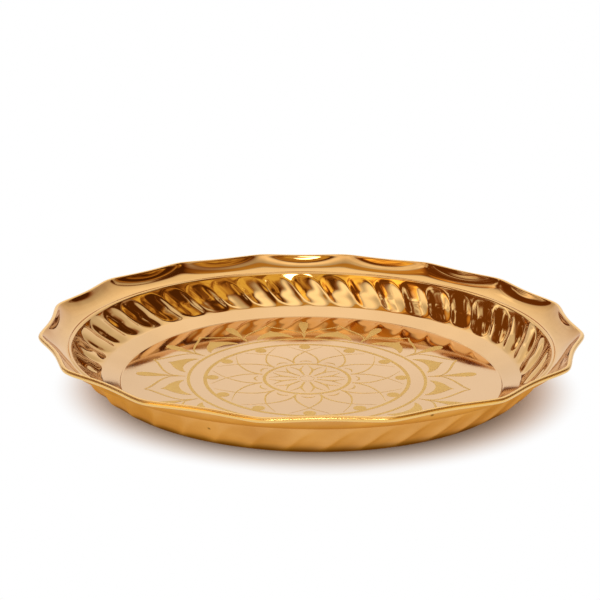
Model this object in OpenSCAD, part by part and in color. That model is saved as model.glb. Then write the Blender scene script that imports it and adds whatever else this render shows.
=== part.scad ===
/* [Plate] */
// Radius over the scallop tips, outside the rolled edge
plate_r = 150; // [140:0.5:165]
// Thickness of the brass sheet
sheet = 0.7; // [0.5:0.05:0.9]
// Radius of the flat patch in the middle that the plate rests on
rest_r = 30; // [20:1:45]
// Height that the gently dished floor gains from its middle to the crease
floor_rise = 3.7; // [2:0.1:5]

/* [Wall] */
// Width of the plain band between the floor's crease and the feet of the flutes
band_w = 10.4; // [8:0.2:13]
// Height that the plain band climbs
band_rise = 4.2; // [3:0.1:5.5]
// How far the fluted wall leans out from its foot to its top
wall_run = 14.6; // [12:0.2:17]
// Height of the fluted wall
wall_rise = 18.6; // [15:0.2:22]
// How far the wall bellies outward from a straight line
wall_belly = 2.2; // [0:0.1:2.6]

/* [Flutes] */
// Number of swirling flutes round the wall
flute_count = 44; // [36:2:48]
// How far each flute stands out of the wall into the plate
flute_relief = 1.3; // [0.8:0.1:2]
// Angle that a flute swirls through from its top to its foot
flute_swirl = 6.6; // [0:0.2:9]
// Angle of the first groove between flutes, at the top of the wall
flute_turn = -0.4; // [-4:0.1:4]

/* [Rim] */
// Width of the flange from the bead to the scallop tips
flange_w = 15; // [13:0.5:18]
// Height that the flange climbs from the top of the wall to the middle of the wire
flange_rise = 8.8; // [7:0.1:11]
// Width of the bead between the wall and the flange
bead_w = 2.4; // [1.6:0.1:3]
// How far the bead stands up from the flange
bead_proud = 0.9; // [0.4:0.1:1.2]
// Number of scallops round the rim
scallop_count = 16; // [12:1:20]
// Depth of the scallops from their tips to the hollows between them
scallop_depth = 4.2; // [1:0.1:6]
// Angle of the first scallop tip
scallop_turn = 13.9; // [0:0.1:22]
// How far the flange sags below a straight line from the bead to the edge
flange_sag = 0.9; // [0:0.1:1.2]

/* [Wired edge] */
// Diameter of the wire that the edge is rolled over
wire_d = 1; // [0.8:0.1:1.4]
// Clearance between the wire and the sheet curled round it
wire_gap = 0.15; // [0.1:0.01:0.2]
// Gap left between the end of the curl and the underside of the flange
curl_gap = 0.3; // [0.2:0.05:0.4]

/* [Hidden] */

// Faces along one flute, across one wire and along one curl
flute_steps = 4;
wire_sides = 6;
curl_steps = 5;
channel_steps = 5;
column_count = flute_count * flute_steps;

// Shares of the wall, from its foot to its top, that carry a ring of points
inner_wall_shares = [0, 0.1, 0.28, 0.6, 0.84, 1];
outer_wall_shares = [1, 0.84, 0.6, 0.28, 0];
// Share of the way out along the floor, and of its rise, where its curve is set
floor_bend_share = 0.55;
floor_bend_rise_share = 0.4;
// Shares of the wall over which a flute's tongue-shaped foot and its top fade out
flute_foot_share = 0.35;
flute_top_share = 0.45;
// Fullness of a flute's cross-section: 1 leaves sharp valleys and more softens them
flute_fullness = 1.4;
// Squareness of a flute's cross-section: 2 is evenly round and more is flatter on its crest
flute_squareness = 3;
// Share of the way out along the flange where its curve is set
flange_mid_share = 0.5;
// How well the flange holds its round inside the scallops: 1 draws it in evenly, more only near the edge
flange_hold = 2;
// Softness of the scallop tips: 0 is a sharp point
tip_softness_share = 0.29;

wire_r = wire_d / 2;
channel_r = wire_r + wire_gap;
curl_r = channel_r + sheet;
edge_r = plate_r - curl_r;
flange_r = plate_r - flange_w;
wall_r = flange_r - bead_w;
foot_r = wall_r - wall_run;
floor_r = foot_r - band_w;
floor_h = sheet + floor_rise;
foot_h = floor_h + band_rise;
wall_top_h = foot_h + wall_rise;

// Points of the section are [radius, height, share of the wall, share of the flange]
foot_at = [foot_r, foot_h];
top_at = [wall_r, wall_top_h];
crease_at = [floor_r, floor_h];
edge_at = [edge_r, wall_top_h + flange_rise];

function unit(v) = v / norm(v);

// Direction square to a line, on the underside of the sheet
function below(a, b) = unit([b[1] - a[1], a[0] - b[0]]);

// The point under a corner that keeps the sheet's thickness on both sides
function under(before, at, after) =
    let (
        one = below(before, at),
        two = below(at, after),
        bisector = unit(one + two)
    )
    at + bisector * sheet / (bisector * one);

wall_out = below(foot_at, top_at);

// The wall's own curve, without its flutes
function wall_at(share) =
    foot_at + share * (top_at - foot_at) + 4 * share * (1 - share) * wall_belly * wall_out;

function tag(p, wall_share, flange_share = 0) = [p[0], p[1], wall_share, flange_share];

// The flange leaves the bead, sags a little and runs into the top of the curl
flange_in = [flange_r, wall_top_h + bead_proud / 2];
flange_up = -below(flange_in, edge_at);
flange_mid = (flange_in + edge_at + curl_r * flange_up) / 2 - flange_sag * flange_up;
bead_at = [wall_r + bead_w / 2, wall_top_h + bead_proud];
floor_bend = [rest_r + (floor_r - rest_r) * floor_bend_share, sheet + floor_rise * floor_bend_rise_share];
rest_at = [rest_r, sheet];

// The flange meets the curl as a tangent, and the curl stops short of the flange's underside
to_edge = edge_at - flange_mid;
curl_from = atan2(to_edge[0], -to_edge[1]) + asin(curl_r / norm(to_edge));
curl_turn = 360 - acos((channel_r - curl_gap) / curl_r);

function round_edge(radius, angle) = edge_at + radius * [cos(angle), sin(angle)];

inner_section = concat(
    [tag(rest_at, 0), tag(floor_bend, 0), tag(crease_at, 0)],
    [for (share = inner_wall_shares) tag(wall_at(share), share)],
    [tag(bead_at, 1), tag(flange_in, 1), tag(flange_mid, 1, flange_mid_share)]
);

curl_section = concat(
    [for (i = [0:curl_steps])
        tag(round_edge(curl_r, curl_from - curl_turn * i / curl_steps), 1, 1)],
    [for (i = [0:channel_steps])
        tag(round_edge(channel_r, curl_from - curl_turn * (1 - i / channel_steps)), 1, 1)]
);

under_section = concat(
    [tag(under(flange_in, flange_mid, round_edge(curl_r, curl_from)), 1, flange_mid_share)],
    [tag(under(bead_at, flange_in, flange_mid), 1)],
    [tag(under(top_at, bead_at, flange_in), 1)],
    [tag(under(wall_at(inner_wall_shares[4]), top_at, bead_at), 1)],
    [for (share = outer_wall_shares) if (share > 0 && share < 1)
        tag(wall_at(share) + sheet * wall_out, share)],
    [tag(under(crease_at, foot_at, wall_at(inner_wall_shares[2])), 0)],
    [tag(under(floor_bend, crease_at, foot_at), 0)],
    [tag(under(rest_at, floor_bend, crease_at), 0)],
    [tag([rest_r, 0], 0)]
);

dish_section = concat(inner_section, curl_section, under_section);

// How far a flute stands out, at a share of the wall and a place across the flute
function flute_push(share, across) =
    let (
        foot = max(0, 1 - share / flute_foot_share),
        top = max(0, 1 - (1 - share) / flute_top_share),
        body = max(0, 1 - pow(abs(across), flute_squareness) - foot * foot - top * top)
    )
    flute_relief * pow(body, flute_fullness);

// How far a hollow of the scalloped edge lies inside the tips
function scallop_pull(angle) =
    let (
        k = tip_softness_share,
        wave = sin(scallop_count * (angle - scallop_turn) / 2)
    )
    scallop_depth * (sqrt(wave * wave + k * k) - k) / (sqrt(1 + k * k) - k);

// Places a point of the section at one of the columns round the plate
function place(p, column) =
    let (
        angle = flute_turn + 360 * column / column_count - flute_swirl * (1 - p[2]),
        across = 2 * (column % flute_steps) / flute_steps - 1,
        push = flute_push(p[2], across),
        r = p[0] - push * wall_out[0] - pow(p[3], flange_hold) * scallop_pull(angle),
        z = p[1] - push * wall_out[1]
    )
    [r * cos(angle), r * sin(angle), z];

function ring_points(section) =
    [for (p = section) for (column = [0:column_count - 1]) place(p, column)];

// Two triangles on each cell between neighbouring rings
function cell_faces(ring, next) =
    [for (i = [0:column_count - 1])
        let (
            j = (i + 1) % column_count,
            a = ring * column_count,
            b = next * column_count
        )
        each [[a + i, b + j, b + i], [a + i, a + j, b + j]]
    ];

// The sheet: dished floor, plain band, swirled flutes, bead, scalloped flange and curl
module pressed_dish() {
    last = len(dish_section) - 1;
    color("goldenrod")
        polyhedron(
            points = ring_points(dish_section),
            faces = concat(
                [[for (i = [column_count - 1:-1:0]) i]],
                [for (ring = [0:last - 1]) each cell_faces(ring, ring + 1)],
                [[for (i = [0:column_count - 1]) last * column_count + i]]
            ),
            convexity = 6
        );
}

// The closed hoop of wire inside the curl
module rim_wire() {
    sides = [for (i = [0:wire_sides - 1]) tag(round_edge(wire_r, -360 * i / wire_sides), 1, 1)];
    color("darkgoldenrod")
        polyhedron(
            points = ring_points(sides),
            faces = [for (i = [0:wire_sides - 1]) each cell_faces(i, (i + 1) % wire_sides)],
            convexity = 4
        );
}

pressed_dish();
rim_wire();
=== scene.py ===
"""A brass thali on a white studio sweep.

The plate is one pressed sheet of brass with its edge rolled over a wire. Its floor carries a
twelve-fold etched ring pattern. Sizes are in millimetres in the classes and in metres in Blender.
"""

import logging
import math
from dataclasses import dataclass, field
from enum import Enum
from typing import Any, Sequence

import bmesh
import bpy
from bpy.types import Material, Mesh, Modifier, Node, NodeSocket, NodeTree, Object
from mathutils import Matrix, Vector
from mathutils.geometry import tessellate_polygon


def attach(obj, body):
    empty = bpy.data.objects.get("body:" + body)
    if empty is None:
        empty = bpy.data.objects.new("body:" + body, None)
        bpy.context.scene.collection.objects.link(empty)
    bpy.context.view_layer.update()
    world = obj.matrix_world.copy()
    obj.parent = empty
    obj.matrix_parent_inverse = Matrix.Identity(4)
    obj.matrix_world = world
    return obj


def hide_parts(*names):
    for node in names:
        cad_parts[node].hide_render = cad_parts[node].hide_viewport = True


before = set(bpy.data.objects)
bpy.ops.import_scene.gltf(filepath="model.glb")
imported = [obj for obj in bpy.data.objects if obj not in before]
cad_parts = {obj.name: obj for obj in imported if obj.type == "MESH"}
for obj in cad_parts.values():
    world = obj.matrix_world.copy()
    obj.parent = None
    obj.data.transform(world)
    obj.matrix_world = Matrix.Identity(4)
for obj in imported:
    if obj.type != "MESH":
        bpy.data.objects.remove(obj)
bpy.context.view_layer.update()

LOG = logging.getLogger("thali")
MM = 0.001

MATH = "ShaderNodeMath"
VECTOR = "ShaderNodeVectorMath"
COMBINE = "ShaderNodeCombineXYZ"
SPLIT = "ShaderNodeSeparateXYZ"
RAMP = "ShaderNodeMapRange"
MIX = "ShaderNodeMix"
NOISE = "ShaderNodeTexNoise"
BUMP = "ShaderNodeBump"
SHADER = "ShaderNodeBsdfPrincipled"
COLOURS = {"data_type": "RGBA"}

Point = tuple[float, float]
Feed = Node | NodeSocket


class Body(Enum):
    """The body that the dish and the etched pattern ride on."""

    PLATE = "root"


class Slot(Enum):
    """The record's material slot for the sheet, which no piece here takes its finish from."""

    SHEET = "polished_brass"


class Side(Enum):
    """The two sides of the sheet, by the place of their finish in its material slots."""

    INSIDE = 0
    OUTSIDE = 1


def linear(code: str) -> tuple[float, float, float, float]:
    """Turns an sRGB hex colour into linear light.

    Args:
        code: Six hex digits, with or without a leading hash.

    Returns:
        Red, green, blue and an alpha of one.
    """
    code = code.lstrip("#")
    parts = [int(code[i:i + 2], 16) / 255 for i in (0, 2, 4)]
    lit = [c / 12.92 if c <= 0.04045 else ((c + 0.055) / 1.055) ** 2.4 for c in parts]
    return (lit[0], lit[1], lit[2], 1.0)


def add_node(
    tree: NodeTree, kind: str, settings: dict[str, Any] | str | None = None, *values: Any
) -> Node:
    """Adds one node to a tree.

    Args:
        tree: The tree that the node goes into.
        kind: The node's type name.
        settings: Its properties and its inputs by name, or only the name of its operation.
        values: What its inputs in use get, in their order. A socket is linked, a node is linked by
            its first output in use, and any other value is set.

    Returns:
        The new node.
    """
    node = tree.nodes.new(kind)
    given = {"operation": settings} if isinstance(settings, str) else dict(settings or {})
    for key in [key for key in given if key not in node.inputs]:
        setattr(node, key, given.pop(key))
    fed = [(node.inputs[key], value) for key, value in given.items()]
    fed += zip([socket for socket in node.inputs if socket.enabled], values)
    for socket, value in fed:
        if isinstance(value, Node):
            value = next(output for output in value.outputs if output.enabled)
        if isinstance(value, NodeSocket):
            tree.links.new(value, socket)
        else:
            socket.default_value = value
    return node


@dataclass(frozen=True)
class Ramp:
    """A change from low, where the value is start, to high, where it is stop."""

    start: float
    stop: float
    low: float = 0.0
    high: float = 1.0
    soft: bool = True

    def settings(self) -> dict[str, Any]:
        """The settings of the node that makes this change.

        Returns:
            Its properties and inputs by name.
        """
        return {
            "interpolation_type": "SMOOTHSTEP" if self.soft else "LINEAR",
            "From Min": self.start, "From Max": self.stop, "To Min": self.low, "To Max": self.high,
        }


@dataclass(frozen=True)
class Grain:
    """A noise, by the real size of its clouds or lines in millimetres."""

    size_mm: float
    detail: float

    def settings(self) -> dict[str, Any]:
        """The settings of the node that makes this noise."""
        return {"Scale": 1 / (self.size_mm * MM), "Detail": self.detail}


@dataclass(frozen=True)
class Relief:
    """How strongly and how deep, in millimetres, a pattern dents the surface."""

    strength: float
    depth_mm: float

    def settings(self) -> dict[str, Any]:
        """The settings of the node that dents the surface."""
        return {"Strength": self.strength, "Distance": self.depth_mm * MM}


def new_material(name: str) -> tuple[Material, NodeTree, Node]:
    """Makes an empty node material with its output.

    Args:
        name: The material's name.

    Returns:
        The material, its tree and its output node.
    """
    material = bpy.data.materials.new(name)
    material.use_nodes = True
    tree = material.node_tree
    tree.nodes.clear()
    return material, tree, add_node(tree, "ShaderNodeOutputMaterial")


def new_object(name: str, mesh: Mesh) -> Object:
    """Puts a mesh into the scene as an object at the origin.

    Args:
        name: The object's name.
        mesh: Its mesh, with its place in it.

    Returns:
        The new object.
    """
    piece = bpy.data.objects.new(name, mesh)
    bpy.context.scene.collection.objects.link(piece)
    return piece


def settle(piece: Object, modifier: Modifier) -> None:
    """Turns what a modifier makes into the piece's own plain mesh, and removes the modifier.

    Args:
        piece: The object whose mesh is made plain.
        modifier: Its one modifier.
    """
    graph = bpy.context.evaluated_depsgraph_get()
    made = bpy.data.meshes.new_from_object(piece.evaluated_get(graph))
    old = piece.data
    piece.modifiers.remove(modifier)
    piece.data = made
    made.name = piece.name
    bpy.data.meshes.remove(old)


def face_outwards(mesh: Mesh) -> None:
    """Turns all faces of a closed mesh outwards.

    Args:
        mesh: The mesh, which is changed in place.
    """
    form = bmesh.new()
    form.from_mesh(mesh)
    bmesh.ops.recalc_face_normals(form, faces=form.faces)
    form.to_mesh(mesh)
    form.free()


def new_tool(name: str, sizes: dict[str, Sequence[str]]) -> tuple[NodeTree, Any]:
    """Starts a Geometry Nodes tree.

    Args:
        name: The tree's name.
        sizes: The names of its inputs by their type of socket, besides its geometry and finish.

    Returns:
        The tree, and its inputs by name.
    """
    tree = bpy.data.node_groups.new(name, "GeometryNodeTree")
    face = tree.interface
    face.new_socket("Geometry", in_out="INPUT", socket_type="NodeSocketGeometry")
    for kind, names in (*sizes.items(), ("NodeSocketMaterial", ("Finish",))):
        for label in names:
            face.new_socket(label, in_out="INPUT", socket_type=kind)
    face.new_socket("Geometry", in_out="OUTPUT", socket_type="NodeSocketGeometry")
    return tree, add_node(tree, "NodeGroupInput").outputs


def finish_tool(tree: NodeTree, given: Any, shape: Node) -> None:
    """Ends a Geometry Nodes tree: real geometry, dressed in its finish.

    Args:
        tree: The tree.
        given: Its inputs by name.
        shape: The node that makes its shape.
    """
    real = add_node(tree, "GeometryNodeRealizeInstances", {"Geometry": shape})
    dressed = add_node(tree, "GeometryNodeSetMaterial", {"Geometry": real, "Material": given["Finish"]})
    add_node(tree, "NodeGroupOutput", None, dressed)


def set_inputs(modifier: Modifier, values: dict[str, Any]) -> None:
    """Sets a node modifier's inputs by name.

    Args:
        modifier: A Geometry Nodes modifier whose tree is set.
        values: Each input's value by the name that the tree gives it.
    """
    for item in modifier.node_group.interface.items_tree:
        if item.item_type == "SOCKET" and item.in_out == "INPUT" and item.name in values:
            modifier[item.identifier] = values[item.name]


def smooth_line(points: Sequence[Point], steps: int = 6) -> list[Point]:
    """Runs a Catmull-Rom curve through points.

    Args:
        points: The points to pass through.
        steps: How many pieces each stretch is cut into.

    Returns:
        The points of the curve, with both ends kept.
    """
    ends = [points[0], *points, points[-1]]
    line: list[Point] = []
    for i in range(1, len(ends) - 2):
        p = [Vector(q) for q in ends[i - 1:i + 3]]
        for k in range(steps):
            t = k / steps
            q = 0.5 * (
                2 * p[1]
                + (p[2] - p[0]) * t
                + (2 * p[0] - 5 * p[1] + 4 * p[2] - p[3]) * t * t
                + (3 * p[1] - p[0] - 3 * p[2] + p[3]) * t ** 3
            )
            line.append((q.x, q.y))
    return [*line, tuple(points[-1])]


# Buffed and lacquered sheet mirrors the whole room, with soft ripples left by the press
@dataclass(frozen=True)
class PolishedBrass:
    """The open side: brass sheet that is pressed, buffed and lacquered."""

    name: str = "buffed_brass_sheet"
    metal: str = "#E0BA85"
    warm: str = "#DAB076"
    fluted: str = "#E2B672"
    rolled: str = "#EEC274"
    rim_brown: str = "#BC8748"
    drift: Grain = Grain(45.0, 3.0)
    thick_lacquer: Ramp = Ramp(0.117, 0.120)
    rim_cloud: Grain = Grain(9.0, 4.0)
    rim_patches: Ramp = Ramp(0.3, 0.75, 0.5, 1.0, soft=False)
    haze: Grain = Grain(22.0, 4.0)
    roughness: Ramp = Ramp(0.45, 0.8, 0.045, 0.095, soft=False)
    rolled_haze: float = 0.22
    ripple: Grain = Grain(14.0, 1.0)
    ripple_relief: Relief = Relief(1.0, 0.012)
    hairline: Grain = Grain(0.35, 2.0)
    hairline_relief: Relief = Relief(0.15, 0.0006)

    def colour(self, tree: NodeTree, place: Feed, curl: Feed) -> Feed:
        """The colour of the metal under its lacquer.

        Args:
            tree: The material's tree.
            place: The place on the piece.
            curl: How far a point belongs to the curl.

        Returns:
            The colour, as a node.
        """
        # Slow drift in the lacquer's tone, a hand's breadth across
        drift = add_node(tree, NOISE, self.drift.settings(), place)
        tone = add_node(tree, MIX, COLOURS, drift, linear(self.metal), linear(self.warm))
        # The fluted wall can't be wiped down to bare metal, so its lacquer stays thick and yellow
        flat = add_node(tree, VECTOR, "MULTIPLY", place, (1.0, 1.0, 0.0))
        reach = add_node(tree, VECTOR, "LENGTH", flat)
        walled = add_node(tree, RAMP, self.thick_lacquer.settings(), reach)
        tone = add_node(tree, MIX, COLOURS, walled, tone, linear(self.fluted))
        # The rim turns darker brown in cloudy patches
        rim = add_node(tree, "ShaderNodeAttribute", {"attribute_name": "flange_share"}).outputs["Fac"]
        rim_cloud = add_node(tree, NOISE, self.rim_cloud.settings(), place)
        patchy = add_node(tree, RAMP, self.rim_patches.settings(), rim_cloud)
        rim_brown = add_node(tree, MATH, "MULTIPLY", rim, patchy)
        tone = add_node(tree, MIX, COLOURS, rim_brown, tone, linear(self.rim_brown))
        return add_node(tree, MIX, COLOURS, curl, tone, linear(self.rolled))

    def build(self) -> Material:
        """Builds the material.

        Returns:
            The finished material.
        """
        material, tree, out = new_material(self.name)
        place = add_node(tree, "ShaderNodeTexCoord").outputs["Object"]
        curl = add_node(tree, "ShaderNodeAttribute", {"attribute_name": "curl_share"}).outputs["Fac"]
        # Finger haze: wide patches where the shine is a little softer
        haze = add_node(tree, NOISE, self.haze.settings(), place)
        rough = add_node(tree, RAMP, self.roughness.settings(), haze)
        # The curl is burnished by the rolling wheel, not buffed, so it is a little softer
        rough = add_node(tree, MATH, "MULTIPLY_ADD", curl, self.rolled_haze, rough)
        ripple = add_node(tree, NOISE, self.ripple.settings(), place)
        wave = add_node(tree, BUMP, {**self.ripple_relief.settings(), "Height": ripple})
        line = add_node(tree, NOISE, self.hairline.settings(), place)
        dents = add_node(tree, BUMP, {**self.hairline_relief.settings(), "Height": line, "Normal": wave})
        shader = add_node(tree, SHADER, {
            "Metallic": 1.0, "Base Color": self.colour(tree, place, curl),
            "Roughness": rough, "Normal": dents,
        })
        tree.links.new(shader.outputs[0], out.inputs["Surface"])
        return material


# The pickling bath leaves an even satin that blurs every reflection and looks more orange
@dataclass(frozen=True)
class SatinBrass:
    """The underside: brass sheet as the press and the pickling bath leave it."""

    name: str = "satin_brass_underside"
    metal: str = "#E2A85E"
    dark: str = "#BE7E3A"
    spot: str = "#5A3A1C"
    # Dark brown of the painted shade towards the foot of the wall
    foot: str = "#5A2A0C"
    edge_tint: str = "#F2CC90"
    cloud: Grain = Grain(30.0, 5.0)
    clouded: Ramp = Ramp(0.4, 0.75, 0.0, 0.55, soft=False)
    roughness: Ramp = Ramp(0.0, 1.0, 0.37, 0.54, soft=False)
    spot_mm: float = 16.0
    spotted: Ramp = Ramp(0.03, 0.07, 0.7, 0.0, soft=False)
    # Painted shade: the heights in metres over which the underside darkens towards the foot
    painted_foot_shade: Ramp = Ramp(0.015, 0.0085, 0.0, 0.92)
    grain: Grain = Grain(1.2, 3.0)
    grain_relief: Relief = Relief(0.5, 0.01)

    def build(self) -> Material:
        """Builds the material.

        Returns:
            The finished material.
        """
        material, tree, out = new_material(self.name)
        place = add_node(tree, "ShaderNodeTexCoord").outputs["Object"]
        cloud = add_node(tree, NOISE, self.cloud.settings(), place)
        rough = add_node(tree, RAMP, self.roughness.settings(), cloud)
        share = add_node(tree, RAMP, self.clouded.settings(), cloud)
        tone = add_node(tree, MIX, COLOURS, share, linear(self.metal), linear(self.dark))
        speck = add_node(tree, "ShaderNodeTexVoronoi", {"Scale": 1 / (self.spot_mm * MM)}, place)
        dot = add_node(tree, RAMP, self.spotted.settings(), speck)
        tone = add_node(tree, MIX, COLOURS, dot, tone, linear(self.spot))
        # Painted shade: the underside turns dark brown towards the foot of the wall, standing in for its
        # reflection of the shadowed paper beside it
        height = add_node(tree, SPLIT, None, place).outputs["Z"]
        low = add_node(tree, RAMP, self.painted_foot_shade.settings(), height)
        tone = add_node(tree, MIX, COLOURS, low, tone, linear(self.foot))
        grain = add_node(tree, NOISE, self.grain.settings(), place)
        dents = add_node(tree, BUMP, {**self.grain_relief.settings(), "Height": grain})
        shader = add_node(tree, SHADER, {
            "Metallic": 1.0, "Specular Tint": linear(self.edge_tint),
            "Base Color": tone, "Roughness": rough, "Normal": dents,
        })
        tree.links.new(shader.outputs[0], out.inputs["Surface"])
        return material


# Acid leaves a fine matt tooth that scatters light, so the pattern reads olive beside the mirror
@dataclass(frozen=True)
class EtchedBrass:
    """The pattern: brass etched with acid and then lacquered."""

    name: str = "etched_brass"
    metal: str = "#E8C878"
    shade: str = "#DAB464"
    roughness: float = 0.55
    cloud: Grain = Grain(9.0, 3.0)
    tooth: Grain = Grain(0.5, 4.0)
    tooth_relief: Relief = Relief(0.6, 0.03)

    def build(self) -> Material:
        """Builds the material.

        Returns:
            The finished material.
        """
        material, tree, out = new_material(self.name)
        place = add_node(tree, "ShaderNodeTexCoord").outputs["Object"]
        cloud = add_node(tree, NOISE, self.cloud.settings(), place)
        tone = add_node(tree, MIX, COLOURS, cloud, linear(self.metal), linear(self.shade))
        # The tooth of the etch is drawn at half a millimetre, far coarser than real, so it shows
        tooth = add_node(tree, NOISE, self.tooth.settings(), place)
        dents = add_node(tree, BUMP, {**self.tooth_relief.settings(), "Height": tooth})
        shader = add_node(tree, SHADER, {
            "Metallic": 1.0, "Base Color": tone, "Roughness": self.roughness, "Normal": dents,
        })
        tree.links.new(shader.outputs[0], out.inputs["Surface"])
        return material


# Drawing through a die leaves fine lines and a half gloss, seen only through the curl's slit
@dataclass(frozen=True)
class DrawnWire:
    """The hoop: brass wire drawn through a die."""

    name: str = "drawn_brass_wire"
    metal: str = "#CF9E58"
    roughness: float = 0.3
    lines: Grain = Grain(0.4, 2.0)
    line_relief: Relief = Relief(0.4, 0.01)

    def build(self) -> Material:
        """Builds the material.

        Returns:
            The finished material.
        """
        material, tree, out = new_material(self.name)
        place = add_node(tree, "ShaderNodeTexCoord").outputs["Object"]
        lines = add_node(tree, NOISE, self.lines.settings(), place)
        dents = add_node(tree, BUMP, {**self.line_relief.settings(), "Height": lines})
        shader = add_node(tree, SHADER, {
            "Metallic": 1.0, "Base Color": linear(self.metal), "Roughness": self.roughness, "Normal": dents,
        })
        tree.links.new(shader.outputs[0], out.inputs["Surface"])
        return material


@dataclass(frozen=True)
class Ring:
    """One ring of the sheet's section: where it lies, and its shares of the wall, flange and curl."""

    r: float
    z: float
    wall: float = 0.0
    flange: float = 0.0
    curl: float = 0.0


@dataclass
class PressedDish:
    """The whole pressed sheet, from the middle of its floor to the curl round the wire.

    The sizes are the frame's. Its flat facets cut the scallop tips and the top of the curl a little,
    so the tips are cut by as much here and the flange rises a hair less, and all stays in its box.
    """

    plate_r: float = 150.0
    sheet: float = 0.7
    rest_r: float = 30.0
    floor_rise: float = 3.7
    floor_bow: float = 1.6
    floor_radii: tuple[float, ...] = (12, 24, 30, 34, 39, 45, 52, 60, 68, 76, 84, 91, 97, 102, 105.5)
    step_w: float = 0.5
    step_h: float = 0.32
    step_curve: tuple[Point, ...] = ((0.0, 0.0), (0.3, 0.35), (0.6, 0.8), (1.0, 1.0))
    band_w: float = 10.4
    band_rise: float = 4.2
    band_shares: tuple[float, ...] = (0.12, 0.35, 0.65, 0.9)
    wall_run: float = 14.6
    wall_rise: float = 18.6
    wall_belly: float = 2.2
    wall_foot_zone: float = 0.16
    wall_top_zone: float = 0.72
    wall_steps: tuple[int, int, int] = (12, 13, 16)
    flute_count: int = 44
    flute_relief: float = 1.3
    flute_swirl: float = 6.6
    flute_turn: float = -0.4
    flute_foot: float = 0.35
    flute_top: float = 0.45
    flute_fullness: float = 1.4
    flute_squareness: float = 3.0
    columns_per_flute: int = 15
    bead_w: float = 2.4
    bead_h: float = 0.68
    bead_lift: float = 0.45
    bead_steps: int = 8
    flange_w: float = 15.0
    flange_rise: float = 8.77
    flange_sag: float = 0.9
    flange_hold: float = 2.0
    flange_steps: int = 14
    bend_rounds: int = 8
    scallop_count: int = 16
    scallop_depth: float = 4.2
    scallop_turn: float = 13.9
    tip_softness: float = 0.29
    tip_cut: float = 0.21
    wire_d: float = 1.0
    wire_gap: float = 0.15
    curl_gap: float = 0.3
    curl_steps: int = 14
    curl_lip: float = 0.12
    channel_steps: int = 9
    under_bead: tuple[Point, ...] = ((1.0, 0.78), (0.5, 0.72), (0.1, 0.62))
    under_bead_out: float = 0.3
    under_wall_steps: int = 16
    under_foot: Point = (0.38, -0.6)
    under_crease: Point = (0.16, -0.69)
    under_radii: tuple[float, ...] = (99, 90, 80, 70, 60, 50, 42, 35, 30, 20)
    upper: list[Ring] = field(default_factory=list)
    lower: list[Ring] = field(default_factory=list)

    def __post_init__(self) -> None:
        """Works out the sizes that follow from the named ones."""
        self.channel_r = self.wire_d / 2 + self.wire_gap
        self.curl_r = self.channel_r + self.sheet
        self.curl_turn = math.tau - math.acos((self.channel_r - self.curl_gap) / self.curl_r)
        self.edge_r = self.plate_r - self.curl_r
        self.flange_r = self.plate_r - self.flange_w
        self.wall_r = self.flange_r - self.bead_w
        self.foot_r = self.wall_r - self.wall_run
        self.floor_r = self.foot_r - self.band_w
        self.floor_h = self.sheet + self.floor_rise
        self.foot_h = self.floor_h + self.band_rise
        self.wall_h = self.foot_h + self.wall_rise
        slant = math.hypot(self.wall_run, self.wall_rise)
        self.wall_out = Vector((self.wall_rise / slant, -self.wall_run / slant))
        self.foot = Vector((self.foot_r, self.foot_h))
        self.wall_top = Vector((self.wall_r, self.wall_h))
        self.flange_start = Vector((self.flange_r, self.wall_h + self.bead_lift))
        self.edge = Vector((self.edge_r, self.wall_h + self.flange_rise))
        self.columns = self.flute_count * self.columns_per_flute

    def floor_z(self, r: float) -> float:
        """The height of the floor's top at a radius."""
        reach = max(0.0, (r - self.rest_r) / (self.floor_r - self.rest_r))
        return self.sheet + self.floor_rise * reach ** self.floor_bow

    def wall_at(self, share: float) -> Vector:
        """The wall's own curve at a share of its length, without its flutes."""
        belly = 4 * share * (1 - share) * self.wall_belly
        return self.foot.lerp(self.wall_top, share) + belly * self.wall_out

    def round_edge(self, radius: float, angle: float) -> Ring:
        """A ring of the curl, at an angle round the wire."""
        at = self.edge + radius * Vector((math.cos(angle), math.sin(angle)))
        return Ring(at.x, at.y, wall=1.0, flange=1.0, curl=1.0)

    def flange_line(self) -> tuple[list[tuple[Vector, float]], float]:
        """The flange's top line, and the angle at which it runs into the curl.

        Returns:
            Points with their shares of the flange, and the curl's first angle.
        """
        start = self.flange_start
        along = (self.edge - start).normalized()
        up = Vector((-along.y, along.x))
        mid = (start + self.edge + self.curl_r * up) / 2 - self.flange_sag * up
        bend = mid.copy()
        for _ in range(self.bend_rounds):
            lean = self.edge - bend
            angle = math.atan2(lean.x, -lean.y) + math.asin(self.curl_r / lean.length)
            end = self.edge + self.curl_r * Vector((math.cos(angle), math.sin(angle)))
            bend = 2 * mid - (start + end) / 2
        line = []
        for i in range(self.flange_steps + 1):
            t = i / self.flange_steps
            line.append(((1 - t) ** 2 * start + 2 * t * (1 - t) * bend + t * t * end, t))
        return line, angle

    def floor_rings(self) -> list[Ring]:
        """The rings of the floor, the small step at its crease and the plain band.

        Returns:
            The rings from the middle out.
        """
        rings = [Ring(r, self.floor_z(r)) for r in (*self.floor_radii, self.floor_r - self.step_w)]
        rings += [
            Ring(self.floor_r + self.step_w * a, self.floor_h + self.step_h * b) for a, b in self.step_curve
        ]
        band_from = Vector((self.floor_r + self.step_w, self.floor_h + self.step_h))
        for share in self.band_shares:
            at = band_from.lerp(self.foot, share)
            rings.append(Ring(at.x, at.y))
        return rings

    def wall_rings(self) -> list[Ring]:
        """The rings of the wall, closest together where the flutes begin and end.

        Returns:
            The rings from the foot up.
        """
        zones = (0.0, self.wall_foot_zone, self.wall_top_zone, 1.0)
        shares = [
            start + (stop - start) * i / steps
            for start, stop, steps in zip(zones, zones[1:], self.wall_steps)
            for i in range(steps)
        ]
        return [Ring(*self.wall_at(share), wall=share) for share in (*shares, 1.0)]

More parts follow.
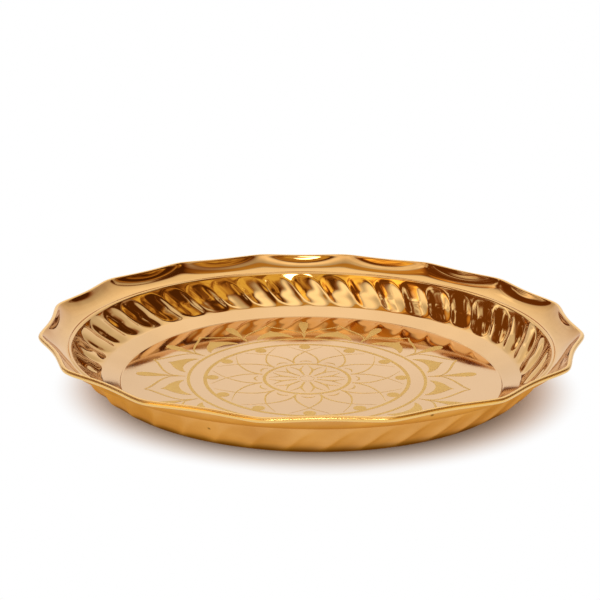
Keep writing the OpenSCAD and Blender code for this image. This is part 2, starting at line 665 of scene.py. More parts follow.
    def rim_rings(self, flange: list[tuple[Vector, float]], angle: float) -> list[Ring]:
        """The rings of the bead, the flange, the curl and its lip.

        Args:
            flange: The flange's top line with its shares.
            angle: The curl's first angle.

        Returns:
            The rings from the wall's top to the lip.
        """
        rings = []
        for i in range(1, self.bead_steps):
            share = i / self.bead_steps
            at = self.wall_top.lerp(self.flange_start, share)
            rings.append(Ring(at.x, at.y + self.bead_h * math.sin(math.pi * share), wall=1.0))
        rings += [Ring(p.x, p.y, wall=1.0, flange=t) for p, t in flange]
        for i in range(1, self.curl_steps + 1):
            rings.append(self.round_edge(self.curl_r, angle - self.curl_turn * i / self.curl_steps))
        lip_r = (self.curl_r + self.channel_r) / 2
        rings.append(self.round_edge(lip_r, angle - self.curl_turn - self.curl_lip))
        return rings

    def under_rings(self, flange: list[tuple[Vector, float]], angle: float) -> list[Ring]:
        """The rings inside the curl and under the flange, bead, wall, band and floor.

        Args:
            flange: The flange's top line with its shares.
            angle: The curl's first angle.

        Returns:
            The rings from the lip back to the middle.
        """
        rings = []
        for i in range(self.channel_steps + 1):
            back = 1 - i / self.channel_steps
            rings.append(self.round_edge(self.channel_r, angle - self.curl_turn * back))
        for (p, t), (q, _) in zip(flange[-2:0:-2], flange[-1:1:-2]):
            along = (q - p).normalized()
            rings.append(Ring(p.x + self.sheet * along.y, p.y - self.sheet * along.x, 1.0, t))
        for share, drop in self.under_bead:
            at = self.wall_top.lerp(self.flange_start, share)
            bump = self.bead_h * math.sin(math.pi * share)
            rings.append(Ring(at.x + self.under_bead_out, at.y + bump - drop, 1.0))
        for i in range(self.under_wall_steps - 1, 0, -1):
            share = i / self.under_wall_steps
            at = self.wall_at(share) + self.sheet * self.wall_out
            rings.append(Ring(at.x, at.y, wall=share))
        rings.append(Ring(self.foot_r + self.under_foot[0], self.foot_h + self.under_foot[1]))
        rings.append(Ring(self.floor_r + self.under_crease[0], self.floor_h + self.under_crease[1]))
        return rings + [Ring(r, self.floor_z(r) - self.sheet) for r in self.under_radii]

    def lay_out(self) -> None:
        """Lays out the rings of the section, on top from the middle out, then back underneath."""
        flange, angle = self.flange_line()
        self.upper = [*self.floor_rings(), *self.wall_rings(), *self.rim_rings(flange, angle)]
        self.lower = self.under_rings(flange, angle)

    def blank(self) -> Mesh:
        """The sheet spun round, before its flutes and scallops are pressed.

        Returns:
            A closed mesh with each point's place across its flute and its shares.
        """
        rings = [*self.upper, *self.lower]
        n = self.columns
        verts: list[tuple[float, float, float]] = []
        across: list[float] = []
        for ring in rings:
            lag = self.flute_swirl * (1 - ring.wall)
            for i in range(n):
                a = math.radians(self.flute_turn + 360 * i / n - lag)
                verts.append((ring.r * MM * math.cos(a), ring.r * MM * math.sin(a), ring.z * MM))
                across.append(2 * (i % self.columns_per_flute) / self.columns_per_flute - 1)
        faces: list[tuple[int, ...]] = []
        for k in range(len(rings) - 1):
            for i in range(n):
                j = (i + 1) % n
                faces.append((k * n + i, k * n + j, (k + 1) * n + j, (k + 1) * n + i))
        top_pole, low_pole = len(verts), len(verts) + 1
        verts += [(0.0, 0.0, self.sheet * MM), (0.0, 0.0, 0.0)]
        last = (len(rings) - 1) * n
        for i in range(n):
            j = (i + 1) % n
            faces.append((top_pole, j, i))
            faces.append((low_pole, last + i, last + j))
        mesh = bpy.data.meshes.new("pressed_sheet")
        mesh.from_pydata(verts, [], faces)
        poles = [0.0, 0.0]
        for name, values in (
            ("across", across + poles),
            ("wall_share", [r.wall for r in rings for _ in range(n)] + poles),
            ("flange_share", [r.flange for r in rings for _ in range(n)] + poles),
            ("curl_share", [r.curl for r in rings for _ in range(n)] + poles),
        ):
            mesh.attributes.new(name, "FLOAT", "POINT").data.foreach_set("value", values)
        return mesh

    def flute_push(self, tree: NodeTree, given: Any, share: Feed, across: Feed) -> Feed:
        """How far the tool pushes a point of the wall in: a soft tongue that fades out at both ends.

        Args:
            tree: The press tool's tree.
            given: The tree's inputs by name.
            share: A point's share of the wall.
            across: A point's place across its flute.

        Returns:
            The push, as a node.
        """
        left = add_node(tree, MATH, "SUBTRACT", 1.0, share)
        spread = add_node(tree, MATH, "ABSOLUTE", across)
        spread = add_node(tree, MATH, "POWER", spread, given["Squareness"])
        for run, zone in ((share, "Foot share"), (left, "Top share")):
            fade = add_node(tree, MATH, "DIVIDE", run, given[zone])
            fade = add_node(tree, MATH, "SUBTRACT", 1.0, fade)
            fade = add_node(tree, MATH, "MAXIMUM", fade, 0.0)
            fade = add_node(tree, MATH, "MULTIPLY", fade, fade)
            spread = add_node(tree, MATH, "ADD", spread, fade)
        body = add_node(tree, MATH, "SUBTRACT", 1.0, spread)
        body = add_node(tree, MATH, "MAXIMUM", body, 0.0)
        bulge = add_node(tree, MATH, "POWER", body, given["Fullness"])
        return add_node(tree, MATH, "MULTIPLY", bulge, given["Relief"])

    def scallop_draw(self, tree: NodeTree, given: Any, parts: Any, flange: Feed) -> Feed:
        """How far the tool draws a point of the flange in: little at the tips, and most in the hollows.

        Args:
            tree: The press tool's tree.
            given: The tree's inputs by name.
            parts: The point's place, axis by axis.
            flange: A point's share of the flange.

        Returns:
            The draw, as a node.
        """
        angle = add_node(tree, MATH, "ARCTAN2", parts["Y"], parts["X"])
        angle = add_node(tree, MATH, "SUBTRACT", angle, given["Turn"])
        angle = add_node(tree, MATH, "MULTIPLY", angle, 0.5)
        wave = add_node(tree, MATH, "MULTIPLY", angle, given["Scallops"])
        wave = add_node(tree, MATH, "SINE", wave)
        square = add_node(tree, MATH, "MULTIPLY", wave, wave)
        soft = add_node(tree, MATH, "MULTIPLY", given["Softness"], given["Softness"])
        lobe, full = (
            add_node(
                tree, MATH, "SUBTRACT",
                add_node(tree, MATH, "SQRT", add_node(tree, MATH, "ADD", soft, height)), given["Softness"],
            )
            for height in (square, 1.0)
        )
        pull = add_node(tree, MATH, "DIVIDE", lobe, full)
        deep = add_node(tree, MATH, "SUBTRACT", given["Depth"], given["Tip cut"])
        hollow = add_node(tree, MATH, "MULTIPLY_ADD", pull, deep, given["Tip cut"])
        held = add_node(tree, MATH, "POWER", flange, given["Hold"])
        return add_node(tree, MATH, "MULTIPLY", hollow, held)

    def press_tree(self) -> NodeTree:
        """The press tool: pushes the swirled flutes in and draws the scalloped edge.

        Returns:
            A Geometry Nodes tree with the flute and scallop sizes as inputs.
        """
        tree, given = new_tool("press_flutes_and_scallops", {
            "NodeSocketFloat": (
                "Relief", "Squareness", "Fullness", "Foot share", "Top share", "Wall run", "Wall rise",
                "Scallops", "Depth", "Turn", "Softness", "Tip cut", "Hold",
            ),
        })
        share, across, flange = (
            add_node(tree, "GeometryNodeInputNamedAttribute", {"data_type": "FLOAT", "Name": name})
            for name in ("wall_share", "across", "flange_share")
        )
        parts = add_node(tree, SPLIT, None, add_node(tree, "GeometryNodeInputPosition")).outputs
        push = self.flute_push(tree, given, share, across)
        draw = self.scallop_draw(tree, given, parts, flange)
        # A flute stands square out of the wall, so its push has a part inwards and a part upwards
        run = add_node(tree, MATH, "MULTIPLY", given["Wall run"], given["Wall run"])
        rise = add_node(tree, MATH, "MULTIPLY", given["Wall rise"], given["Wall rise"])
        slant = add_node(tree, MATH, "SQRT", add_node(tree, MATH, "ADD", run, rise))
        inward, upward = (
            add_node(tree, MATH, "MULTIPLY", push, add_node(tree, MATH, "DIVIDE", given[side], slant))
            for side in ("Wall rise", "Wall run")
        )
        radial = add_node(tree, VECTOR, "NORMALIZE", add_node(tree, COMBINE, None, parts["X"], parts["Y"]))
        reach = add_node(tree, MATH, "MULTIPLY", add_node(tree, MATH, "ADD", inward, draw), -1.0)
        sideways = add_node(tree, VECTOR, "SCALE", radial, reach)
        shift = add_node(tree, VECTOR, "ADD", sideways, add_node(tree, COMBINE, {"Z": upward}))
        moved = add_node(
            tree, "GeometryNodeSetPosition", {"Geometry": given["Geometry"], "Offset": shift}
        )
        finish_tool(tree, given, moved)
        return tree

    def dress(
        self, piece: Object, inside: Material, outside: Material
    ) -> None:
        """Turns the faces outwards, smooths them and gives each side its own finish.

        Args:
            piece: The pressed sheet.
            inside: The finish of the open side and the curl.
            outside: The finish of the underside.
        """
        mesh = piece.data
        face_outwards(mesh)
        mesh.materials.clear()
        mesh.materials.append(inside)
        mesh.materials.append(outside)
        first_low = len(self.upper) * self.columns
        low_pole = len(mesh.vertices) - 1
        for polygon in mesh.polygons:
            polygon.use_smooth = True
            below = all(first_low <= v < low_pole - 1 or v == low_pole for v in polygon.vertices)
            polygon.material_index = (Side.OUTSIDE if below else Side.INSIDE).value

    def build(self, inside: Material, outside: Material) -> Object:
        """Makes the dish.

        Args:
            inside: The finish of the open side and the curl.
            outside: The finish of the underside.

        Returns:
            The finished piece.
        """
        self.lay_out()
        piece = new_object("pressed_brass_dish", self.blank())
        modifier = piece.modifiers.new("press", "NODES")
        modifier.node_group = self.press_tree()
        set_inputs(modifier, {
            "Relief": self.flute_relief * MM,
            "Squareness": self.flute_squareness,
            "Fullness": self.flute_fullness,
            "Foot share": self.flute_foot,
            "Top share": self.flute_top,
            "Wall run": self.wall_run * MM,
            "Wall rise": self.wall_rise * MM,
            "Scallops": float(self.scallop_count),
            "Depth": self.scallop_depth * MM,
            "Turn": math.radians(self.scallop_turn),
            "Softness": self.tip_softness,
            "Tip cut": self.tip_cut * MM,
            "Hold": self.flange_hold,
            "Finish": inside,
        })
        settle(piece, modifier)
        self.dress(piece, inside, outside)
        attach(piece, Body.PLATE.value)
        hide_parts("pressed_dish")
        return piece


@dataclass
class EtchedPattern:
    """A ring pattern of petals, dots, hearts and leaves, etched into the floor.

    Every motif is drawn once, about an axis along +X, and repeated round the middle. The pattern
    lies a little off the plate's middle and a little turned, as in the photograph.
    """

    folds: int = 12
    turn: float = 1.9
    offset_x: float = -2.4
    offset_y: float = 0.9
    proud: float = 0.03
    sunk: float = 0.08
    lift: float = 0.002
    lifts: int = 16
    rings: tuple[tuple[float, float, int], ...] = ((24.5, 1.9, 288), (58.2, 2.1, 288), (67.7, 1.8, 288))
    boss: tuple[float, float, int] = (4.2, 0.35, 96)
    dot_at: float = 54.1
    dot_r: float = 3.5
    dot_steps: int = 28
    drawn: int = 0
    verts: list[tuple[float, float, float]] = field(default_factory=list)
    faces: list[tuple[int, ...]] = field(default_factory=list)

    def next_top(self) -> float:
        """A top height that differs a little from motif to motif, so that crossings stay clean."""
        self.drawn += 1
        return self.proud + self.lift * (self.drawn % self.lifts)

    def stroke(self, line: Sequence[Point], widths: Sequence[float]) -> None:
        """Adds a line as a thin closed strip.

        Args:
            line: The points along its middle, in millimetres.
            widths: Its width at even steps along it.
        """
        left: list[Point] = []
        right: list[Point] = []
        last = len(line) - 1
        for i, (x, y) in enumerate(line):
            a, b = Vector(line[max(0, i - 1)]), Vector(line[min(last, i + 1)])
            side = (b - a).normalized()
            at = i / last * (len(widths) - 1)
            k = min(int(at), len(widths) - 2)
            half = (widths[k] + (at - k) * (widths[k + 1] - widths[k])) / 2
            left.append((x - side.y * half, y + side.x * half))
            right.append((x + side.y * half, y - side.x * half))
        n = len(line)
        base = len(self.verts)
        for z in (self.next_top(), -self.sunk):
            self.verts += [(x * MM, y * MM, z * MM) for x, y in (*left, *right)]
        low = 2 * n
        for i in range(n - 1):
            l0, l1, r0, r1 = base + i, base + i + 1, base + n + i, base + n + i + 1
            self.faces += [
                (l0, r0, r1, l1),
                (l0 + low, l1 + low, r1 + low, r0 + low),
                (l0, l1, l1 + low, l0 + low),
                (r1, r0, r0 + low, r1 + low),
            ]
        for i in (0, n - 1):
            a, b = base + i, base + n + i
            self.faces.append((a, a + low, b + low, b) if i == 0 else (b, b + low, a + low, a))

    def patch(self, outline: Sequence[Point]) -> None:
        """Adds a filled shape as a thin closed plate.

        Args:
            outline: The points round it, in millimetres.
        """
        base, n = len(self.verts), len(outline)
        for z in (self.next_top(), -self.sunk):
            self.verts += [(x * MM, y * MM, z * MM) for x, y in outline]
        for tri in tessellate_polygon([[Vector((x, y, 0)) for x, y in outline]]):
            self.faces.append(tuple(base + k for k in tri))
            self.faces.append(tuple(base + n + k for k in reversed(tri)))
        for i in range(n):
            j = (i + 1) % n
            self.faces.append((base + i, base + j, base + n + j, base + n + i))

    def ring(self, radius: float, width: float, steps: int) -> None:
        """Adds a closed ring.

        Args:
            radius: The radius of its middle line.
            width: Its width.
            steps: How many pieces it is cut into.
        """
        base = len(self.verts)
        inner, outer = radius - width / 2, radius + width / 2
        for r, z in ((inner, self.proud), (outer, self.proud), (outer, -self.sunk), (inner, -self.sunk)):
            for i in range(steps):
                a = math.tau * i / steps
                self.verts.append((r * MM * math.cos(a), r * MM * math.sin(a), z * MM))
        for k in range(4):
            for i in range(steps):
                j = (i + 1) % steps
                a, b = base + k * steps, base + (k + 1) % 4 * steps
                self.faces.append((a + i, b + i, b + j, a + j))

    def both_sides(self, line: Sequence[Point], widths: Sequence[float], degrees: float = 0.0) -> None:
        """Adds a smooth line and its mirror image across the axis, both turned about the middle.

        Args:
            line: The points to run the line through.
            widths: Its width at even steps along it.
            degrees: How far both are turned.
        """
        smooth = smooth_line(line)
        for side in (1, -1):
            self.stroke(self.turned([(x, side * y) for x, y in smooth], degrees), widths)

    def closed_shape(self, half: Sequence[Point]) -> None:
        """Fills a shape from its upper half outline, which starts and ends on the axis."""
        upper = smooth_line(half, 4)
        self.patch([*upper, *[(x, -y) for x, y in reversed(upper[1:-1])]])

    def turned(self, line: Sequence[Point], degrees: float) -> list[Point]:
        """Turns points about the middle of the pattern."""
        c, s = math.cos(math.radians(degrees)), math.sin(math.radians(degrees))
        return [(x * c - y * s, x * s + y * c) for x, y in line]

    def draw_flower(self) -> None:
        """Draws the Y-shaped veins between the twelve petals of the middle flower."""
        axis = 180 / self.folds
        stem = [(6.0, 0.0), (9.0, 0.0), (12.0, 0.0), (15.6, 0.0)]
        self.stroke(self.turned(smooth_line(stem), axis), [1.0, 1.15, 1.35, 1.9])
        tine = [(14.2, 0.1), (16.4, 1.0), (18.8, 2.5), (21.3, 4.3)]
        self.both_sides(tine, [1.5, 1.1, 0.7, 0.25], axis)

    def draw_petals(self) -> None:
        """Draws the outer petals, whose outlines cross at the tips and run on, their arcs and dots."""
        outline = [
            (25.6, 7.0), (30.0, 7.35), (35.0, 6.6), (39.3, 4.7),
            (43.0, 2.3), (46.0, 0.0), (50.0, -4.6), (54.4, -10.6),
        ]
        self.both_sides(outline, [1.15, 1.1, 1.05, 1.0, 0.9, 0.7, 0.45, 0.25])
        arc = [(28.2, 3.7), (29.6, 1.9), (30.0, 0.0), (29.6, -1.9), (28.2, -3.7)]
        self.stroke(smooth_line(arc), [0.3, 0.9, 1.15, 0.9, 0.3])
        angles = [math.tau * i / self.dot_steps for i in range(self.dot_steps)]
        self.patch([(self.dot_at + self.dot_r * math.cos(a), self.dot_r * math.sin(a)) for a in angles])

    def draw_border(self) -> None:
        """Draws the hearts between the axes in their pointed frames, and the leaves on the axes."""
        heart_out = [
            (69.4, 11.9), (72.4, 11.2), (75.8, 9.1), (78.7, 6.2), (80.7, 3.4), (82.2, 1.4), (84.3, 0.0),
        ]
        heart_in = [(73.8, 0.0), (73.5, 3.4), (72.6, 6.4), (71.1, 9.2), (69.4, 11.2)]
        outer, inner = smooth_line(heart_out, 4), smooth_line(heart_in, 4)
        edge = [*outer, *[(x, -y) for x, y in reversed(outer[:-1])]]
        notch = [*[(x, -y) for x, y in reversed(inner)], *inner[1:]]
        axis = 180 / self.folds
        self.patch(self.turned([*edge, *notch], axis))
        frame_line = [
            (93.2, 0.0), (90.6, 2.1), (88.0, 5.4), (85.2, 9.4),
            (82.0, 13.6), (78.4, 17.0), (75.0, 18.9), (71.4, 18.3),
        ]
        self.both_sides(frame_line, [0.7, 1.2, 1.35, 1.35, 1.2, 1.0, 0.8, 0.4], axis)
        self.closed_shape([
            (76.0, 0.0), (79.0, 0.7), (83.0, 1.5), (87.0, 2.4),
            (91.0, 3.0), (94.5, 2.9), (96.8, 1.7), (97.6, 0.0),
        ])
        self.stroke([(69.6, 0.0), (72.0, 0.0), (74.4, 0.0), (76.8, 0.0)], [0.5, 0.9, 1.1, 0.7])

    def draw_rings(self) -> None:
        """Draws the three rings and the rim of the small boss in the middle."""
        for ring in (*self.rings, self.boss):
            self.ring(*ring)

    def collect(self, name: str) -> Object:
        """Turns what has been drawn so far into an object, and clears the drawing.

        Args:
            name: The object's name.

        Returns:
            The new object.
        """
        mesh = bpy.data.meshes.new(name)
        mesh.from_pydata(self.verts, [], self.faces)
        self.verts, self.faces = [], []
        return new_object(name, mesh)

    def repeat_tree(self) -> NodeTree:
        """Repeats a motif round the middle and lays it on the dished floor.

        Returns:
            A Geometry Nodes tree with the count, the place and the floor's sizes as inputs.
        """
        tree, given = new_tool("repeat_on_floor", {
            "NodeSocketInt": ("Copies",),
            "NodeSocketFloat": (
                "Turn", "Offset X", "Offset Y", "Sheet", "Rest radius", "Floor radius", "Rise", "Bow",
            ),
        })
        points = add_node(tree, "GeometryNodePoints", {"Count": given["Copies"]})
        index = add_node(tree, "GeometryNodeInputIndex")
        pitch = add_node(tree, MATH, "DIVIDE", math.tau, given["Copies"])
        turn = add_node(tree, MATH, "MULTIPLY_ADD", index, pitch, given["Turn"])
        spin = add_node(tree, COMBINE, {"Z": turn})
        copies = add_node(
            tree, "GeometryNodeInstanceOnPoints",
            {"Points": points, "Instance": given["Geometry"], "Rotation": spin},
        )
        real = add_node(tree, "GeometryNodeRealizeInstances", {"Geometry": copies})
        offset = add_node(tree, COMBINE, None, given["Offset X"], given["Offset Y"])
        moved = add_node(tree, "GeometryNodeSetPosition", {"Geometry": real, "Offset": offset})
        # The floor's own rule for its height at a radius, so that the pattern follows its dish
        parts = add_node(tree, SPLIT, None, add_node(tree, "GeometryNodeInputPosition")).outputs
        radius = add_node(tree, VECTOR, "LENGTH", add_node(tree, COMBINE, None, parts["X"], parts["Y"]))
        reach = add_node(tree, RAMP, None, radius, given["Rest radius"], given["Floor radius"])
        bowed = add_node(tree, MATH, "POWER", reach, given["Bow"])
        rise = add_node(tree, MATH, "MULTIPLY_ADD", bowed, given["Rise"], given["Sheet"])
        lift = add_node(tree, COMBINE, {"Z": rise})
        laid = add_node(tree, "GeometryNodeSetPosition", {"Geometry": moved, "Offset": lift})
        finish_tool(tree, given, laid)
        return tree

    def lay(
        self, piece: Object, tree: NodeTree, copies: int, dish: PressedDish,
        finish: Material,
    ) -> None:
        """Repeats one drawing round the middle and lays it on the dish's floor.

        Args:
            piece: The drawing.
            tree: The repeating tree.
            copies: How many times it is repeated.
            dish: The dish whose floor it lies on.
            finish: The etched finish.
        """
        modifier = piece.modifiers.new("repeat", "NODES")
        modifier.node_group = tree
        set_inputs(modifier, {
            "Copies": copies,
            "Turn": math.radians(self.turn),
            "Offset X": self.offset_x * MM,
            "Offset Y": self.offset_y * MM,
            "Sheet": dish.sheet * MM,
            "Rest radius": dish.rest_r * MM,
            "Floor radius": dish.floor_r * MM,
            "Rise": dish.floor_rise * MM,
            "Bow": dish.floor_bow,
            "Finish": finish,
        })
        settle(piece, modifier)
        face_outwards(piece.data)
        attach(piece, Body.PLATE.value)

    def build(self, dish: PressedDish, finish: Material) -> list[Object]:
        """Makes the whole pattern.

        Args:
            dish: The dish whose floor it lies on.
            finish: The etched finish.

        Returns:
            The repeated motifs and the rings.
        """
        tree = self.repeat_tree()
        self.draw_flower()
        self.draw_petals()
        self.draw_border()
        motifs = self.collect("etched_motifs")
        self.lay(motifs, tree, self.folds, dish, finish)
        self.draw_rings()
        rings = self.collect("etched_rings")
        self.lay(rings, tree, 1, dish, finish)
        return [motifs, rings]


@dataclass(frozen=True)
class RimWire:
    """The hoop of wire inside the curl, kept as the frame holds it."""

    node: str = "rim_wire"

    def build(self, finish: Material) -> Object:
        """Dresses the wire.

        Args:
            finish: The wire's finish.

        Returns:
            The frame's own piece.
        """
        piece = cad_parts[self.node]
        piece.data.materials.clear()
        piece.data.materials.append(finish)
        return piece


@dataclass(frozen=True)
class Camera:
    """The photograph's camera, fitted to the plate's round outline and its etched pattern."""

    elevation: float = 20.44
    roll: float = 0.67
    distance_mm: float = 641.8
    focal_px: float = 1120.0
    image_px: float = 600.0
    sensor_mm: float = 36.0
    centre_x_px: float = 311.2
    centre_y_px: float = 379.0
    target_z_mm: float = 0.7
    nearest_m: float = 0.01
    farthest_m: float = 100.0

    def build(self) -> None:
        """Sets the camera up and makes it the scene's."""
        e, roll = math.radians(self.elevation), math.radians(self.roll)
        right, up = Vector((1, 0, 0)), Vector((0, math.sin(e), math.cos(e)))
        back = Vector((0, -math.cos(e), math.sin(e)))
        side = right * math.cos(roll) + up * math.sin(roll)
        top = up * math.cos(roll) - right * math.sin(roll)
        data = bpy.data.cameras.new("camera")
        data.sensor_width = self.sensor_mm
        data.lens = self.sensor_mm * self.focal_px / self.image_px
        data.shift_x = (self.image_px / 2 - self.centre_x_px) / self.image_px
        data.shift_y = (self.centre_y_px - self.image_px / 2) / self.image_px
        data.clip_start, data.clip_end = self.nearest_m, self.farthest_m
        camera = bpy.data.objects.new("camera", data)
        spot = Vector((0, 0, self.target_z_mm * MM)) + back * self.distance_mm * MM
        camera.matrix_world = Matrix((
            (side.x, top.x, back.x, spot.x), (side.y, top.y, back.y, spot.y),
            (side.z, top.z, back.z, spot.z), (0, 0, 0, 1),
        ))
        bpy.context.scene.collection.objects.link(camera)
        bpy.context.scene.camera = camera


# Coated paper is matt and even; near the plate a warm shadow is painted into its glow, where the brass
# above throws its light on it
@dataclass(frozen=True)
class PaperSweep:
    """The white paper that the plate stands on."""

    name: str = "white_paper_sweep"
    paper: str = "#EEDECD"
    # Colour of the painted warm shadow in the glow close to the plate
    painted_warm_shadow: str = "#E2CCBA"
    white: str = "#FFFFFF"
    roughness: float = 0.85
    gloss: float = 0.2
    width_m: float = 30.0
    shadow_shift: tuple[float, float, float] = (-0.003, -0.006, 0.0)
    shadow_scale: tuple[float, float, float] = (0.89, 1.0, 1.0)
    glow: Ramp = Ramp(0.099, 0.135, 0.08, 1.0)

    def dress(self) -> Material:
        """Builds the paper, which is plain near the plate and glows white to the camera further out.

        Returns:
            The finished material.
        """
        material, tree, out = new_material(self.name)
        paper = add_node(tree, SHADER, {
            "Base Color": linear(self.paper), "Roughness": self.roughness, "Specular IOR Level": self.gloss,
        })
        path = add_node(tree, "ShaderNodeLightPath").outputs
        place = add_node(tree, "ShaderNodeTexCoord").outputs["Object"]
        # The contact shadow is painted leaning away from the left and front, where the light seems to come
        # from: the glow gives way to the plain paper in an oval set off the middle
        leant = add_node(tree, "ShaderNodeMapping", {
            "vector_type": "POINT", "Vector": place,
            "Location": self.shadow_shift, "Scale": self.shadow_scale,
        })
        far = add_node(tree, RAMP, self.glow.settings(), add_node(tree, VECTOR, "LENGTH", leant))
        # Painted shadow: close to the plate the glow turns a darker warm tint, as of the brass above it
        painted_warm_shadow = add_node(tree, MIX, COLOURS, far, linear(self.painted_warm_shadow), linear(self.white))
        glow = add_node(tree, "ShaderNodeEmission", {"Strength": 1.0, "Color": painted_warm_shadow})
        seen = add_node(tree, MATH, "MAXIMUM", path["Is Camera Ray"], path["Is Glossy Ray"])
        share = add_node(tree, MATH, "MULTIPLY", seen, far)
        mixed = add_node(tree, "ShaderNodeMixShader", None, share, paper, glow)
        tree.links.new(mixed.outputs[0], out.inputs["Surface"])
        return material

    def build(self) -> None:
        """Lays the sweep down."""
        half = self.width_m / 2
        mesh = bpy.data.meshes.new("sweep")
        mesh.from_pydata(
            [(-half, -half, 0), (half, -half, 0), (half, half, 0), (-half, half, 0)], [], [(0, 1, 2, 3)]
        )
        mesh.materials.append(self.dress())
        new_object("sweep", mesh)


@dataclass(frozen=True)
class Sky:
    """What the room's light is worked out from: a direction, its three parts and noise over it."""

    tree: NodeTree
    way: Feed
    x: Feed
    y: Feed
    z: Feed
    clutter: Feed


@dataclass(frozen=True)
class MirroredRoom:
    """The room that lights the plate and that the brass mirrors.

    It is white paper behind, a softbox overhead, a small lamp behind the camera, and a dim amber room
    round them with a doorway, a window and a light ceiling. Its ramps run over the parts of the unit
    direction towards the room: X is to the right, Y is away from the camera and Z is up.
    """

    horizon: float = 0.02
    backdrop_light: float = 1.02
    backdrop_slant: float = 0.12
    backdrop_lean: Ramp = Ramp(0.7, 0.8, 0.72, 0.65)
    backdrop_edge: Ramp = Ramp(0.04, 0.18)
    backdrop_sides: Ramp = Ramp(0.25, 0.85, 1.0, 0.6)
    backdrop_height: Ramp = Ramp(0.35, 0.75, 1.0, 1.17)
    softbox_left: Ramp = Ramp(-0.85, -0.35)
    softbox_right: Ramp = Ramp(0.75, 0.3)
    softbox_front: Ramp = Ramp(-0.72, -0.42)
    softbox_back: Ramp = Ramp(0.04, -0.08)
    softbox_light: Ramp = Ramp(-0.05, -0.38, 0.72, 1.5)
    front_fill: Ramp = Ramp(-0.86, -0.97, 0.0, 0.5)
    lamp_way: tuple[float, float, float] = (0.14, -0.886, 0.442)
    lamp_light: Ramp = Ramp(0.991, 0.997, 0.0, 11.0)
    beside_width: Ramp = Ramp(0.35, 0.6, 0.0, 0.7)
    beside_slant: float = 0.35
    beside_depth: Ramp = Ramp(-0.12, 0.12)
    beside_things: Ramp = Ramp(0.47, 0.57, 0.15, 1.0)
    clutter_scale: float = 3.5
    clutter_detail: float = 3.0
    clutter_roughness: float = 0.6
    cloth_gain: float = 0.36
    cloth_least: float = 0.82
    amber_share: Ramp = Ramp(-0.4, -0.75, 0.0, 0.18)
    amber_lamps: Ramp = Ramp(0.46, 0.72)
    doorway_way: tuple[float, float, float] = (0.7, -0.46, 0.546)
    doorway_edge: Ramp = Ramp(0.9, 0.975)
    doorway_break: Ramp = Ramp(0.3, 0.62)
    ceiling_light: Ramp = Ramp(0.86, 0.97, 0.0, 0.65)
    window_light: Ramp = Ramp(-0.15, -0.6, 1.0, 2.1)
    room_light: float = 0.85
    dim_light: float = 0.09
    lit_enough: Ramp = Ramp(0.1, 0.75)
    deep_amber: tuple[float, float, float, float] = (1.0, 0.33, 0.05, 1.0)
    pale_amber: tuple[float, float, float, float] = (1.0, 0.74, 0.2, 1.0)
    lit_white: tuple[float, float, float, float] = (1.0, 0.96, 0.98, 1.0)
    plain_white: tuple[float, float, float, float] = (1.0, 1.0, 1.0, 1.0)

    def backdrop(self, sky: Sky, width: Feed) -> Feed:
        """The white paper behind the plate: a wedge, wider overhead, that dims at its sides.

        Args:
            sky: The direction.
            width: How far the direction leans to either side.

        Returns:
            Its light, as a node.
        """
        lean = add_node(sky.tree, RAMP, self.backdrop_lean.settings(), sky.z)
        aside = add_node(sky.tree, MATH, "MULTIPLY", width, lean)
        slant = add_node(sky.tree, MATH, "MULTIPLY", sky.x, self.backdrop_slant)
        aside = add_node(sky.tree, MATH, "SUBTRACT", aside, slant)
        inside = add_node(sky.tree, MATH, "SUBTRACT", sky.y, aside)
        light = add_node(sky.tree, RAMP, self.backdrop_edge.settings(), inside)
        higher = add_node(sky.tree, RAMP, self.backdrop_height.settings(), sky.z)
        sides = add_node(sky.tree, RAMP, self.backdrop_sides.settings(), width)
        for part in (self.backdrop_light, higher, sides):
            light = add_node(sky.tree, MATH, "MULTIPLY", light, part)
        return light

    def softbox(self, sky: Sky) -> Feed:
        """The box overhead, which is brightest towards its front edge.

        Args:
            sky: The direction.

        Returns:
            Its light, as a node.
        """
        height = add_node(sky.tree, MATH, "MAXIMUM", sky.z, self.horizon)
        across = add_node(sky.tree, MATH, "DIVIDE", sky.x, height)
        along = add_node(sky.tree, MATH, "DIVIDE", sky.y, height)
        light = add_node(sky.tree, RAMP, self.softbox_light.settings(), along)
        for way, edge in (
            (across, self.softbox_left), (across, self.softbox_right),
            (along, self.softbox_front), (along, self.softbox_back),
        ):
            cut = add_node(sky.tree, RAMP, edge.settings(), way)
            light = add_node(sky.tree, MATH, "MULTIPLY", light, cut)
        return light

    def lit(self, sky: Sky) -> Feed:
        """All that is lit white: paper, softbox, lamp, and light things on both sides.

        Args:
            sky: The direction.

        Returns:
            Its light, as a node.
        """
        width = add_node(sky.tree, MATH, "ABSOLUTE", sky.x)
        fill = add_node(sky.tree, RAMP, self.front_fill.settings(), sky.y)
        # A small lamp just behind the camera puts the white streaks on the rolled edge
        aim = add_node(sky.tree, VECTOR, "DOT_PRODUCT", sky.way, self.lamp_way)
        light = add_node(sky.tree, RAMP, self.lamp_light.settings(), aim)
        for more in (fill, self.softbox(sky), self.backdrop(sky, width)):
            light = add_node(sky.tree, MATH, "ADD", light, more)
        # Light walls and furniture stand on both sides, and reach further forward on the left
        slant = add_node(sky.tree, MATH, "MULTIPLY", sky.x, self.beside_slant)
        forward = add_node(sky.tree, MATH, "SUBTRACT", sky.y, slant)
        beside = add_node(sky.tree, RAMP, self.beside_width.settings(), width)
        for value, ramp in ((forward, self.beside_depth), (sky.clutter, self.beside_things)):
            share = add_node(sky.tree, RAMP, ramp.settings(), value)
            beside = add_node(sky.tree, MATH, "MULTIPLY", beside, share)
        light = add_node(sky.tree, MATH, "MAXIMUM", light, beside)
        # The paper and the box's cloth aren't quite even
        uneven = add_node(sky.tree, MATH, "MULTIPLY_ADD", sky.clutter, self.cloth_gain, self.cloth_least)
        return add_node(sky.tree, MATH, "MULTIPLY", light, uneven)

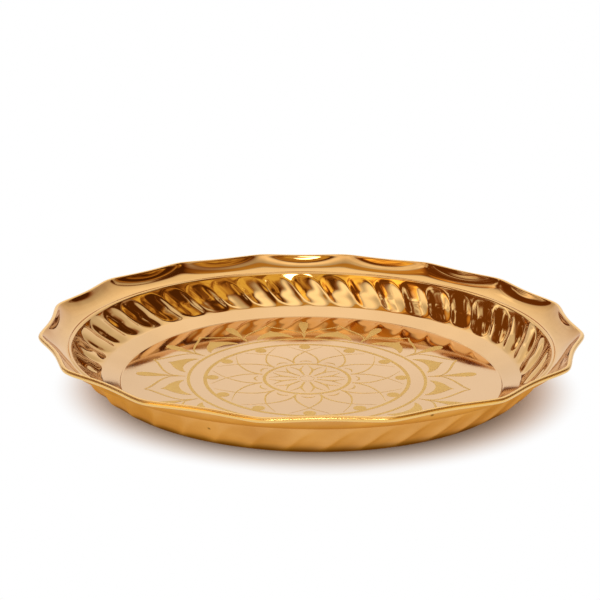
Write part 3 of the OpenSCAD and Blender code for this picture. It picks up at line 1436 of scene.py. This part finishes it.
    def lamps(self, sky: Sky) -> Feed:
        """The amber lamps of the room, its doorway and its ceiling.

        Args:
            sky: The direction.

        Returns:
            Their share of the room's full light, as a node.
        """
        warmer = add_node(sky.tree, RAMP, self.amber_share.settings(), sky.y)
        spread = add_node(sky.tree, MATH, "ADD", sky.clutter, warmer)
        light = add_node(sky.tree, RAMP, self.amber_lamps.settings(), spread)
        # A lit doorway on the right behind the camera gilds the back left of the rim and wall
        aim = add_node(sky.tree, VECTOR, "DOT_PRODUCT", sky.way, self.doorway_way)
        door = add_node(sky.tree, RAMP, self.doorway_edge.settings(), aim)
        broken = add_node(sky.tree, RAMP, self.doorway_break.settings(), sky.clutter)
        gilt = add_node(sky.tree, MATH, "MULTIPLY", door, broken)
        ceiling = add_node(sky.tree, RAMP, self.ceiling_light.settings(), sky.z)
        for more in (gilt, ceiling):
            light = add_node(sky.tree, MATH, "MAXIMUM", light, more)
        return light

    def build(self) -> None:
        """Makes the world and hangs it in the scene."""
        world = bpy.data.worlds.new("studio")
        world.use_nodes = True
        tree = world.node_tree
        tree.nodes.clear()
        way = add_node(tree, "ShaderNodeTexCoord").outputs["Generated"]
        clutter = add_node(
            tree, NOISE,
            {
                "Scale": self.clutter_scale, "Detail": self.clutter_detail,
                "Roughness": self.clutter_roughness,
            },
            way,
        )
        sky = Sky(tree, way, *add_node(tree, SPLIT, None, way).outputs, clutter)
        lit, lamps = self.lit(sky), self.lamps(sky)
        room = add_node(tree, MATH, "MULTIPLY_ADD", lamps, self.room_light, self.dim_light)
        # The room is lighter on the left, towards its window
        window = add_node(tree, RAMP, self.window_light.settings(), sky.x)
        room = add_node(tree, MATH, "MULTIPLY", room, window)
        light = add_node(tree, MATH, "MAXIMUM", lit, room)
        amber = add_node(tree, MIX, COLOURS, lamps, self.deep_amber, self.pale_amber)
        whiter = add_node(tree, RAMP, self.lit_enough.settings(), lit)
        tint = add_node(tree, MIX, COLOURS, whiter, amber, self.lit_white)
        glow = add_node(tree, "ShaderNodeBackground", {"Color": tint, "Strength": light})
        # The camera itself sees plain white past the sweep's edge
        white = add_node(tree, "ShaderNodeBackground", {"Color": self.plain_white, "Strength": 1.0})
        path = add_node(tree, "ShaderNodeLightPath").outputs
        seen = add_node(tree, "ShaderNodeMixShader", None, path["Is Camera Ray"], glow, white)
        add_node(tree, "ShaderNodeOutputWorld", {"Surface": seen}).is_active_output = True
        bpy.context.scene.world = world


@dataclass(frozen=True)
class Studio:
    """The photographer's studio: its camera, its sweep and its room."""

    camera: Camera = Camera()
    sweep: PaperSweep = PaperSweep()
    room: MirroredRoom = MirroredRoom()

    def build(self) -> None:
        """Sets up the whole studio."""
        self.camera.build()
        self.sweep.build()
        self.room.build()
        bpy.context.scene.view_settings.view_transform = "Standard"


def report(piece: Object) -> None:
    """Logs one finished piece."""
    LOG.info("%s: %d faces", piece.name, len(piece.data.polygons))


def main() -> None:
    """Builds the studio and the plate."""
    logging.basicConfig(level=logging.INFO, format="%(name)s: %(message)s")
    Studio().build()
    dish = PressedDish()
    report(dish.build(PolishedBrass().build(), SatinBrass().build()))
    for piece in EtchedPattern().build(dish, EtchedBrass().build()):
        report(piece)
    report(RimWire().build(DrawnWire().build()))


if __name__ == "__main__":
    main()
